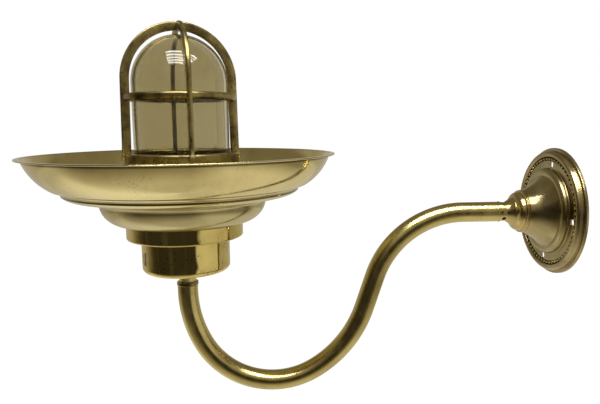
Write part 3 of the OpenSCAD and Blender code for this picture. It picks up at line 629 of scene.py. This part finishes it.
# %% Nipple
nipple_low, nipple_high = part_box("arm_nipple")
nipple_foot, nipple_top = (nipple_low.z - lamp_foot.z) / MM, (nipple_high.z - lamp_foot.z) / MM
nipple_outline = soften(
    [(wire_r, nipple_foot), (thread_r, nipple_foot, 0.4), (thread_r, -bare_h), (bare_r, -bare_h, 0.5)]
    + [(bare_r, -1, 0.6), (bare_r - 0.6, 0), (thread_r, 0), (thread_r, nipple_top, 0.5), (wire_r, nipple_top)]
)
nipple = turn("nipple_turned", nipple_outline, lamp_foot, steps=96)
fit(nipple, bare_brass, "arm", "brass", "arm_nipple")

# %% [markdown]
# ## The arm
# The arm is one tube that follows a path of straights and bends, so Geometry Nodes make it: a circle
# is swept along the path, and the tree has its radius and its sides as inputs. Solidify then gives
# the skin its wall. The path itself repeats the bender's settings: length, then radius and turn.

# %% Arm path
# Each row is one bend: the straight before it in mm, its radius in mm, and its turn in degrees.
bends = [(38.4, 89, 71.6), (32.5, 111, -41.4), (0, 77, -91), (0, 109, -29.2)]
tube_r, tube_wall, end_len = 9.5, 1.4, 6
hub_front, ring_thick, arm_reach = 54, 1.2, 89.6
straight_steps, fewest_steps = 6, 8
spot, heading = Vector((0, -hub_front - ring_thick, 0)), math.pi
path = [spot.copy()]


def ahead(angle):
    """The direction at an angle from straight out of the wall, in the arm's own plane."""
    return Vector((0, math.cos(angle), math.sin(angle)))


for straight, radius, degrees in bends:
    length = straight if len(path) > 1 else arm_reach - hub_front - ring_thick
    for k in range(1, straight_steps + 1):
        if length > 0:
            path.append(spot + ahead(heading) * length * k / straight_steps)
    spot = spot + ahead(heading) * length
    side = 1 if degrees > 0 else -1
    pivot = spot + ahead(heading + side * math.pi / 2) * radius
    steps = max(int(abs(degrees)), fewest_steps)
    for k in range(1, steps + 1):
        angle = heading + math.radians(degrees) * k / steps
        path.append(pivot - ahead(angle + side * math.pi / 2) * radius)
    heading += math.radians(degrees)
    spot = path[-1].copy()
path.append(spot + ahead(heading) * end_len)
arm_end = [round(v, 2) for v in path[-1]]
print("arm path", len(path), "points, ends at", arm_end, "heading", round(math.degrees(heading), 2))


# %% Geometry tree helpers
def group(name, wanted):
    """A geometry tree with named inputs. Gives the tree, its input node and each socket's identifier."""
    tree = bpy.data.node_groups.new(name, "GeometryNodeTree")
    tree.interface.new_socket("Geometry", in_out="OUTPUT", socket_type="NodeSocketGeometry")
    keys = {}
    for label, kind in {"Geometry": "NodeSocketGeometry", **wanted}.items():
        keys[label] = tree.interface.new_socket(label, in_out="INPUT", socket_type=kind).identifier
    return tree, add(tree, "NodeGroupInput").outputs, keys


def close_tree(tree, geometry, material):
    """Ends a tree: instances become real mesh, shaded smooth, in their finish."""
    real = add(tree, "GeometryNodeRealizeInstances", {"Geometry": geometry})
    smooth = add(tree, "GeometryNodeSetShadeSmooth", {"Geometry": real.outputs[0]})
    painted = add(tree, "GeometryNodeSetMaterial", {"Geometry": smooth.outputs[0], "Material": material})
    add(tree, "NodeGroupOutput", {"Geometry": painted.outputs[0]})


def grow(name, tree, keys, values, mesh=None):
    """Runs a geometry tree on an object and keeps the result as a plain mesh."""
    piece = stand(name, mesh or bpy.data.meshes.new(name))
    grower = piece.modifiers.new(name, "NODES")
    grower.node_group = tree
    for label, value in values.items():
        grower[keys[label]] = value
    settle(piece).name = name
    return piece


# %% Sweep the tube
def thicken(piece, wall):
    """Gives an open skin a wall on its inner side."""
    shell = piece.modifiers.new("wall", "SOLIDIFY")
    shell.thickness = wall
    shell.offset = -1
    settle(piece).set_sharp_from_angle(angle=sharp_angle)


def looks_out(face):
    """True where a face of the tube looks away from the nearest point of its path."""
    middle = face.calc_center_median()
    nearest = min(path, key=lambda point: (point * MM - middle).length)
    return face.normal.dot(middle - nearest * MM) > 0


sweep, given, keys = group("sweep a tube", {"Radius": "NodeSocketFloat", "Sides": "NodeSocketInt"})
line = add(sweep, "GeometryNodeMeshToCurve", {"Mesh": given["Geometry"]})
ring = {"Resolution": given["Sides"], "Radius": given["Radius"]}
circle = add(sweep, "GeometryNodeCurvePrimitiveCircle", ring)
skin = add(sweep, "GeometryNodeCurveToMesh", {"Curve": line.outputs[0], "Profile Curve": circle.outputs[0]})
close_tree(sweep, skin.outputs[0], tube_brass)
path_mesh = bpy.data.meshes.new("arm_path")
path_mesh.from_pydata([p * MM for p in path], [(k, k + 1) for k in range(len(path) - 1)], [])
arm = grow("arm_tube_swept", sweep, keys, {"Radius": tube_r * MM, "Sides": 64}, path_mesh)
check = bmesh.new()
check.from_mesh(arm.data)
outward = sum(looks_out(face) for face in check.faces)
if outward < len(check.faces) / 2:
    bmesh.ops.reverse_faces(check, faces=check.faces)
check.to_mesh(arm.data)
check.free()
thicken(arm, tube_wall * MM)
fit(arm, tube_brass, "arm", "brass", "arm_tube")

# %% [markdown]
# ## The wall plate and its bead ring
# The plate is stamped and turned: a thin lip, a half-round band, a flat ring for the screws and a
# bell. Between band and flat ring runs a row of small beads. They repeat round a circle, so
# Geometry Nodes place them: points on a circle, a small ball on each, and real mesh at the end.

# %% Wall plate outlines
plate_r, wall_t, lip_h, lip_edge_r = 60.3, 1.6, 2.6, 0.8
band_out, band_in, band_h, band_round, band_hollow = 57.3, 51.7, 8.4, 2.8, 2
land_r, land_h, groove_h = 48.3, 6.2, 5.3
bell_r, neck_top_r, bell_h, hub_hole_r = 41, 20.4, 32, 9.08
shoulder, shoulder_r = (36, 7.4), 5
flare, flare_r = (neck_top_r + 41.7, bell_h + 14.6), 44.6
land_back, lip_back = groove_h - wall_t, lip_h - 1.1
front = soften(
    [(plate_r, 0), (plate_r, lip_h - lip_edge_r)]
    + arc((plate_r - lip_edge_r, lip_h - lip_edge_r), lip_edge_r, 10, 90, 6)
    + [(band_out + 0.3, lip_h, 0.3)]
    + arc(((band_out + band_in) / 2, band_h - band_round), band_round, 0, 180, 24)
    + [(band_in, groove_h, 0.3), (land_r + 0.3, groove_h, 0.3)]
    + [(land_r, land_h, 0.3), (bell_r + 0.4, land_h, 0.5)]
    + arc(shoulder, shoulder_r, 0, 90, 14)
    + arc(flare, flare_r, 231, 202, 24)
    + [(neck_top_r, bell_h, 0.4), (hub_hole_r, bell_h), (hub_hole_r, bell_h - wall_t)]
)
back = soften(
    [(neck_top_r - wall_t, bell_h - wall_t, 1)]
    + arc(flare, flare_r + wall_t, 203, 229, 12)
    + arc(shoulder, shoulder_r - wall_t, 80, 0, 6)
    + [(bell_r - wall_t, land_h - wall_t, 0.5), (land_r - 0.9, land_h - wall_t), (land_r + 0.2, land_back)]
    + [(band_in - 0.6, land_back), (band_in + 0.6, land_back + band_hollow)]
    + [(band_out - wall_t, land_back + band_hollow, 0.5), (band_out - wall_t, lip_back)]
    + [(plate_r - wall_t, lip_back), (plate_r - wall_t, 0)]
)
print("plate outline", len(front), "points in front,", len(back), "behind")

# %% Wall plate and its screw holes
screw_circle, screw_hole, screw_count, screw_clock = 45, 3, 4, 85
plate = turn("wall_plate_turned", front + back, wall_point, upright=False)
for k in range(screw_count):
    a = math.radians(screw_clock + k * 360 / screw_count)
    where = Vector((screw_circle * math.cos(a), 0, screw_circle * math.sin(a))) * MM
    cut(plate, turn("drill", rod(screw_hole, low=-1, high=12), where, upright=False, steps=48))
fit(plate, plate_brass, "wall", "brass", "wall_plate")

# %% Bead ring
bead_circle_r, bead_r, bead_count, bead_h = 50, 1.5, 64, groove_h + 0.5
sizes = {"Ring Radius": "NodeSocketFloat", "Bead Radius": "NodeSocketFloat"}
sizes |= {"Count": "NodeSocketInt", "Lift": "NodeSocketVector"}
beads, given, keys = group("row of beads", sizes)
ring = {"Resolution": given["Count"], "Radius": given["Ring Radius"]}
track = add(beads, "GeometryNodeCurvePrimitiveCircle", ring)
on_wall = {"Rotation": (math.pi / 2, 0, 0), "Translation": given["Lift"]}
stood = add(beads, "GeometryNodeTransform", {"Geometry": track.outputs[0], **on_wall})
spots = add(beads, "GeometryNodeCurveToPoints", {"Curve": stood.outputs[0]}, mode="EVALUATED")
ball = add(beads, "GeometryNodeMeshIcoSphere", {"Radius": given["Bead Radius"], "Subdivisions": 3})
placed = add(beads, "GeometryNodeInstanceOnPoints", {"Points": spots.outputs[0], "Instance": ball.outputs[0]})
close_tree(beads, placed.outputs[0], bead_brass)
values = {"Ring Radius": bead_circle_r * MM, "Bead Radius": bead_r * MM}
values |= {"Count": bead_count, "Lift": (0, -bead_h * MM, 0)}
bead_row = grow("bead_ring", beads, keys, values)
fit(bead_row, bead_brass, "wall", "brass")

# %% [markdown]
# ## The hub collar
# A turned collar takes the arm's end. Its foot has two fine grooves, then a ball, a step and a cone.

# %% Collar outline
collar_r, lip_r, collar_len, bore_r = 20.6, 9.1, 22, 6.58
tail_r, tail_len, ball_r, waist = 9, 10.2, 5.2, 7.6
cone_low, cone_len, cone_steps = 10.5, 6.5, 8
cone = []
for k in range(1, cone_steps + 1):
    narrowed = (collar_r - waist - lip_r) * (1 - k / cone_steps) ** 1.3
    cone.append((lip_r + narrowed, cone_low + cone_len * k / cone_steps))
collar_outline = soften(
    [(bore_r, -tail_len), (tail_r, -tail_len, 0.4), (tail_r, 0), (collar_r - 0.4, 0)]
    + [(collar_r, 0.5, 0.3), (collar_r, 1.1, 0.3), (collar_r - 0.8, 1.5, 0.2), (collar_r - 0.3, 1.9, 0.2)]
    + [(collar_r - 0.3, 2.5, 0.2), (collar_r - 2.2, 3, 0.3), (collar_r - 2, 3.7, 0.2)]
    + arc((collar_r - 7.2, 3.8), ball_r, 12, 64, 12)
    + [(collar_r - 6.6, 9.3, 0.4), (collar_r - waist, 9.7, 0.3), (collar_r - 7.4, 10.4, 0.2)]
    + cone
    + [(lip_r, collar_len, 0.5), (bore_r, collar_len)]
)
print("collar outline", len(collar_outline), "points")

# %% Collar and its screw hole
screw_turn, screw_h, grub_r, grub_in, grub_len = math.radians(-41), 19.5, 2.05, 5, 16
collar = turn("hub_collar_turned", collar_outline, Vector((0, -bell_h * MM, 0)), upright=False, steps=128)
drill = turn("drill", rod(grub_r, 0, grub_len), Vector((0, 0, 0)), steps=48)
aim = Matrix.Translation((0, -(bell_h + screw_h) * MM, 0)) @ Matrix.Rotation(-screw_turn, 4, "Y")
drill.data.transform(aim @ Matrix.Rotation(math.pi / 2, 4, "Y") @ Matrix.Translation((0, 0, grub_in * MM)))
cut(collar, drill)
fit(collar, bead_brass, "wall", "brass", "hub_collar")

# %% [markdown]
# ## The glass
# The jar is pressed: a straight wall, a domed top and a thick flange that the guard holds down.

# %% Glass jar
glass_low, glass_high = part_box("glass")
flange_r, flange_t, glass_r, glass_wall, near_pole = 47.4, 5, 43, 3.2, 89.5
glass_h = (glass_high.z - glass_low.z) / MM
dome = glass_h - glass_r
inner_r = glass_r - glass_wall
glass_outline = soften(
    [(inner_r, 0, 0.6), (flange_r, 0, 1), (flange_r, flange_t, 1.4), (glass_r, flange_t, 1)]
    + arc((0, dome), glass_r, 0, near_pole, 40)
    + [(0, glass_h), (0, dome + inner_r)]
    + arc((0, dome), inner_r, near_pole, 0, 40)
)
glass = turn("glass_jar", glass_outline, Vector((0, lamp_foot.y, glass_low.z)), steps=128)
fit(glass, olive_glass, "glass", "clear_glass", "glass")

# %% [markdown]
# ## The guard
# Two straps are bent over the glass and halved into each other at the crown, with the front one on
# top. Each is one bar with rounded edges, swept along a leg, a half circle and a leg. It widens at
# its feet, which wrap the threaded ring. A round-edged band ties the four legs together.

# %% Section and path of a strap
strap_t, strap_w, edge = 8, 4, 1.2
crown_r, crown_h, lean = 48, 174, math.radians(1)
foot_r, foot_w, foot_h, foot_tall, foot_step, foot_in = 49.83, 6.4, 104, 4.6, 0.6, 0.45
ring_top, ring_out, leg_steps = 109.55, 51.53, 10
ream_below, lap_play, saw_half, saw_tall = 4, 0.05, 6, 20
# The four corners of a bar: which way each lies from the middle, and where its arc begins.
bar_corners = ((1, 1, 0), (-1, 1, 90), (-1, -1, 180), (1, -1, 270))


def bar_section(deep, wide, bulge=0.25):
    """A rounded bar's outline, with broad sides that are slightly full."""
    outline = []
    for side_a, side_b, start in bar_corners:
        middle = (side_a * (deep / 2 - edge), side_b * (wide / 2 - edge))
        outline += arc(middle, edge, start, start + 90, 5)
    return [(a, b * (1 - bulge / wide * (2 * a / deep) ** 2)) for a, b in outline]


def strap_path():
    """(middle radius, height, outward angle, width) from one foot over the crown to the other."""
    leg = [(foot_r, foot_h, 0, foot_w), (foot_r, foot_h + foot_tall, 0, foot_w)]
    leg.append((foot_r - foot_in, foot_h + foot_tall + foot_step, lean, strap_w))
    for k in range(1, leg_steps + 1):
        climbed = (crown_h - foot_h - foot_tall - foot_step) * k / leg_steps
        h = foot_h + foot_tall + foot_step + climbed
        leg.append((crown_r + (crown_h - h) * math.tan(lean), h, lean, strap_w))
    crown = []
    for a in np.linspace(lean, math.pi - lean, 90):
        crown.append((crown_r * math.cos(a), crown_h + crown_r * math.sin(a), a, strap_w))
    other = [(-r, h, math.pi - a, w) for r, h, a, w in leg[::-1]]
    return leg + crown[1:-1] + other


print("strap path", len(strap_path()), "stations")


# %% Bend the straps and halve them
def block(low, high, place):
    """A plain block between two corners in mm, as a tool for a saw cut."""
    shape = bmesh.new()
    bmesh.ops.create_cube(shape, size=1)
    tool = finish_mesh("block", shape)
    low, high = Vector(low) * MM, Vector(high) * MM
    tool.data.transform(place @ Matrix.Translation((low + high) / 2) @ Matrix.Diagonal((*(high - low), 1)))
    return tool


def bend_strap(name, degrees, on_top):
    """Sweeps a bar along the strap's path, reams its feet for the ring and halves it at the crown."""
    place = Matrix.Translation(lamp_foot) @ Matrix.Rotation(math.radians(degrees), 4, "Z")
    shape, rings = bmesh.new(), []
    for r, h, out, wide in strap_path():
        ring = []
        for a, b in bar_section(strap_t, wide):
            local = Vector((r + a * math.cos(out), b, h + a * math.sin(out)))
            ring.append(shape.verts.new(place @ (local * MM)))
        rings.append(ring)
    for ring, nxt in zip(rings, rings[1:]):
        for k in range(len(ring)):
            shape.faces.new((ring[k - 1], ring[k], nxt[k], nxt[k - 1]))
    shape.faces.new(rings[0][::-1])
    shape.faces.new(rings[-1])
    bmesh.ops.recalc_face_normals(shape, faces=shape.faces)
    strap = finish_mesh(name, shape)
    cut(strap, turn("reamer", rod(ring_out, foot_h - ream_below, ring_top), lamp_foot))
    lap = crown_h + crown_r
    low, high = (lap - saw_tall, lap) if on_top else (lap, lap + saw_tall)
    half = strap_w / 2 + lap_play
    cut(strap, block((-half, -saw_half, low), (half, saw_half, high), place))
    return strap


for name, degrees, on_top in (("front", 17.5, True), ("side", 107.5, False)):
    strap = bend_strap(f"guard_strap_{name}", degrees, on_top)
    fit(strap, guard_brass, "guard", "guard_brass", f"guard_hoop_{name}")

# %% Guard band
band_low, band_mid, band_t, band_tall, band_edge = 156.2, 48.27, 4, 6, 1.95
band_outline = []
for across, up, start in bar_corners:
    from_axis = band_mid + across * (band_t / 2 - band_edge)
    from_foot = band_low + band_tall / 2 + up * (band_tall / 2 - band_edge)
    band_outline += arc((from_axis, from_foot), band_edge, start, start + 90, 6)
band_ring = turn("guard_band_ring", band_outline, lamp_foot, steps=128)
fit(band_ring, guard_brass, "guard", "guard_brass", "guard_band")

# %% [markdown]
# ## The studio
# Polished metal shows its surroundings, so the studio matters as much as the brass. The background
# is white for every ray that looks at it. Round the lamp stands a room that only reflections see:
# one turned mesh paints the dim side of a room, its door, a pale wall, a table and a ceiling. It sheds
# no light and no shadow. The base is a round mirror, and its stripes in the photograph say at which
# angles its tones begin and end.

# %% Floor
floor_z, floor_half = -0.62, 9
corners = [(x * floor_half, y * floor_half, floor_z) for x, y in ((-1, -1), (1, -1), (1, 1), (-1, 1))]
floor_mesh = bpy.data.meshes.new("floor")
floor_mesh.from_pydata(corners, [], [(0, 1, 2, 3)])
floor = stand("floor", floor_mesh)


# %% Paper for the floor
def seen_directly(tree):
    """1 for rays that look at, mirror or see through to the background, and 0 for light that scatters."""
    rays = add(tree, "ShaderNodeLightPath").outputs
    looks = {0: rays["Is Camera Ray"], 1: rays["Is Glossy Ray"]}
    first = add(tree, "ShaderNodeMath", looks, operation="MAXIMUM")
    through = {0: first.outputs[0], 1: rays["Is Transmission Ray"]}
    return add(tree, "ShaderNodeMath", through, operation="MAXIMUM").outputs[0]


# The paper glows just enough to read as white.
paper = bpy.data.materials.new("white paper floor")
tree = empty_tree(paper)
seen = seen_directly(tree)
matt = add(tree, "ShaderNodeBsdfDiffuse", {"Color": linear("#e6e6e6")})
glow = add(tree, "ShaderNodeEmission", {"Color": linear("#ffffff"), "Strength": 0.42})
added = add(tree, "ShaderNodeAddShader", {0: matt.outputs[0], 1: glow.outputs[0]})
mixed = add(tree, "ShaderNodeMixShader", {"Fac": seen, 1: matt.outputs[0], 2: added.outputs[0]})
add(tree, "ShaderNodeOutputMaterial", {"Surface": mixed.outputs[0]})
floor_mesh.materials.append(paper)

# %% World
world = bpy.data.worlds.new("white studio")
bpy.context.scene.world = world
tree = empty_tree(world)
seen = seen_directly(tree)
white, fill_strength = linear("#ffffff"), 0.78
direct = add(tree, "ShaderNodeBackground", {"Color": white, "Strength": 1.0})
fill = add(tree, "ShaderNodeBackground", {"Color": white, "Strength": fill_strength})
mixed = add(tree, "ShaderNodeMixShader", {"Fac": seen, 1: fill.outputs[0], 2: direct.outputs[0]})
add(tree, "ShaderNodeOutputWorld", {"Surface": mixed.outputs[0]})
print("background white, and its light on the lamp", fill_strength)


# %% The room's colours
def tone_at(stops, degrees):
    """Colour between the two nearest (degrees, colour) stops."""
    for (low, first), (high, last) in zip(stops, stops[1:]):
        if low <= degrees <= high:
            t = (degrees - low) / (high - low)
            return [a + (b - a) * t for a, b in zip(linear(first), linear(last))]


# Degrees run round the lamp's axis. The camera stands near 0, and the wall plate's wall is at 90.
wall = [(-180, "#c2bcae"), (-118, "#b5ae9f"), (-100, "#857c6b"), (-86, "#4f483b"), (-72, "#3a352c")]
wall += [(-68, "#4b4437"), (-64, "#39342b"), (-38, "#37332c"), (-33, "#494338"), (-29, "#48422f")]
wall += [(-24, "#38342c"), (2, "#38342c"), (5, "#423c30"), (8, "#38342c"), (31, "#38342c")]
wall += [(37, "#d9d3c6"), (60, "#e0dacc"), (99, "#dcd6c6"), (99.5, "#3a3222"), (102, "#3a3222")]
wall += [(103, "#b5ad9b"), (140, "#b9b3a5"), (180, "#c2bcae")]
floor_far = [(-180, "#c6bfae"), (-96, "#c6bfae"), (-76, "#857b66"), (-60, "#575042"), (25, "#575042")]
floor_far += [(40, "#8f8673"), (112, "#8f8673"), (126, "#e0d8c6"), (150, "#d8d0be"), (180, "#c6bfae")]
floor_mid = [(-180, "#d9d2c2"), (-125, "#f4eddd"), (-98, "#f4eddd"), (-85, "#c2b9a4"), (-55, "#a39982")]
floor_mid += [(15, "#a39982"), (45, "#e6decb"), (125, "#eae3d2"), (150, "#dcd5c5"), (180, "#d9d2c2")]
floor_near = [(-180, "#dcd5c5"), (-120, "#fffaec"), (-100, "#fffaec"), (-60, "#d2cab8")]
floor_near += [(20, "#d2cab8"), (60, "#e4dccb"), (120, "#e4dccb"), (180, "#dcd5c5")]
wall_mid = [(-180, "#a79f8e"), (-118, "#a79f8e"), (-100, "#857c6a"), (-86, "#4f483b"), (-63, "#3d372d")]
wall_mid += [(-34, "#3d372d"), (-12, "#958b77"), (30, "#958b77"), (38, "#b3aa98"), (99, "#b3aa98")]
wall_mid += [(101, "#8f8673"), (180, "#a79f8e")]
above = [(-180, "#857c69"), (-90, "#7d7460"), (-45, "#7d7460"), (-20, "#b5ab96"), (32, "#b5ab96")]
above += [(56, "#857c69"), (180, "#857c69")]
ceiling = [(-180, "#8f8673"), (180, "#8f8673")]
print("room behind the camera", [round(c, 3) for c in tone_at(wall, 0)])

# %% A room that only reflections see
room_r, room_low, room_high, room_middle = 1.75, -0.56, 1.62, 0.001
# Each row is a ring of the room: radius and height in metres, and its colours.
room_rows = [
    (room_middle, room_low, floor_near),
    (0.3, room_low, floor_near),
    (0.62, room_low, floor_mid),
    (1.1, room_low, floor_far),
    (1.55, room_low, floor_far),
    (room_r, room_low, wall),
    (room_r, 0.12, wall),
    (room_r, 0.45, wall_mid),
    (room_r, 0.66, wall_mid),
    (room_r, 0.84, above),
    (room_r, room_high, above),
    (room_middle, room_high, ceiling),
]
room_turns = [k / 2 for k in range(-360, 361)]
points, tints, faces = [], [], []
for radius, height, stops in room_rows:
    for degrees in room_turns:
        a = math.radians(degrees)
        points.append((radius * math.cos(a), lamp_foot.y + radius * math.sin(a), height))
        tints.append(tone_at(stops, degrees))
wide = len(room_turns)
for row in range(len(room_rows) - 1):
    for k in range(wide - 1):
        first = row * wide + k
        faces.append((first, first + 1, first + wide + 1, first + wide))
room_mesh = bpy.data.meshes.new("room")
room_mesh.from_pydata(points, [], faces)
tint = room_mesh.color_attributes.new("tint", "FLOAT_COLOR", "POINT")
for k, colour in enumerate(tints):
    tint.data[k].color = colour
print("room", len(room_rows), "rows of", wide, "points")

# %% The room's paint
room_paint = bpy.data.materials.new("painted room")
tree = empty_tree(room_paint)
paint = add(tree, "ShaderNodeAttribute", attribute_name="tint")
lit = add(tree, "ShaderNodeEmission", {"Color": paint.outputs["Color"], "Strength": 1})
add(tree, "ShaderNodeOutputMaterial", {"Surface": lit.outputs[0]})
room_mesh.materials.append(room_paint)
room = stand("room", room_mesh)
room.visible_camera = False
room.visible_diffuse = False
room.visible_shadow = False
room.visible_transmission = False
print("room seen by the camera:", room.visible_camera, "and by reflections:", room.visible_glossy)


# %% Lamps
def tube_lamp(name, place, size, power, towards):
    """A long ceiling tube that shows only in reflections."""
    lamp = bpy.data.lights.new(name, "AREA")
    lamp.shape = "RECTANGLE"
    lamp.size, lamp.size_y = size
    lamp.energy = power
    holder = stand(name, lamp)
    holder.location = place
    aim = Vector(towards) - Vector(place)
    holder.rotation_mode = "QUATERNION"
    holder.rotation_quaternion = aim.to_track_quat("-Z", "Y")
    holder.visible_camera = False
    holder.visible_diffuse = False


tube_size, tube_power, tube_h, tube_side = (1.7, 0.1), 8.5, 1.58, -0.08
for number, front in enumerate((0.42, 0.68, 0.94, 1.2, 1.48)):
    towards = (front * 0.6, tube_side, 0)
    tube_lamp(f"ceiling_tube_{number}", (front, tube_side, tube_h), tube_size, tube_power, towards)
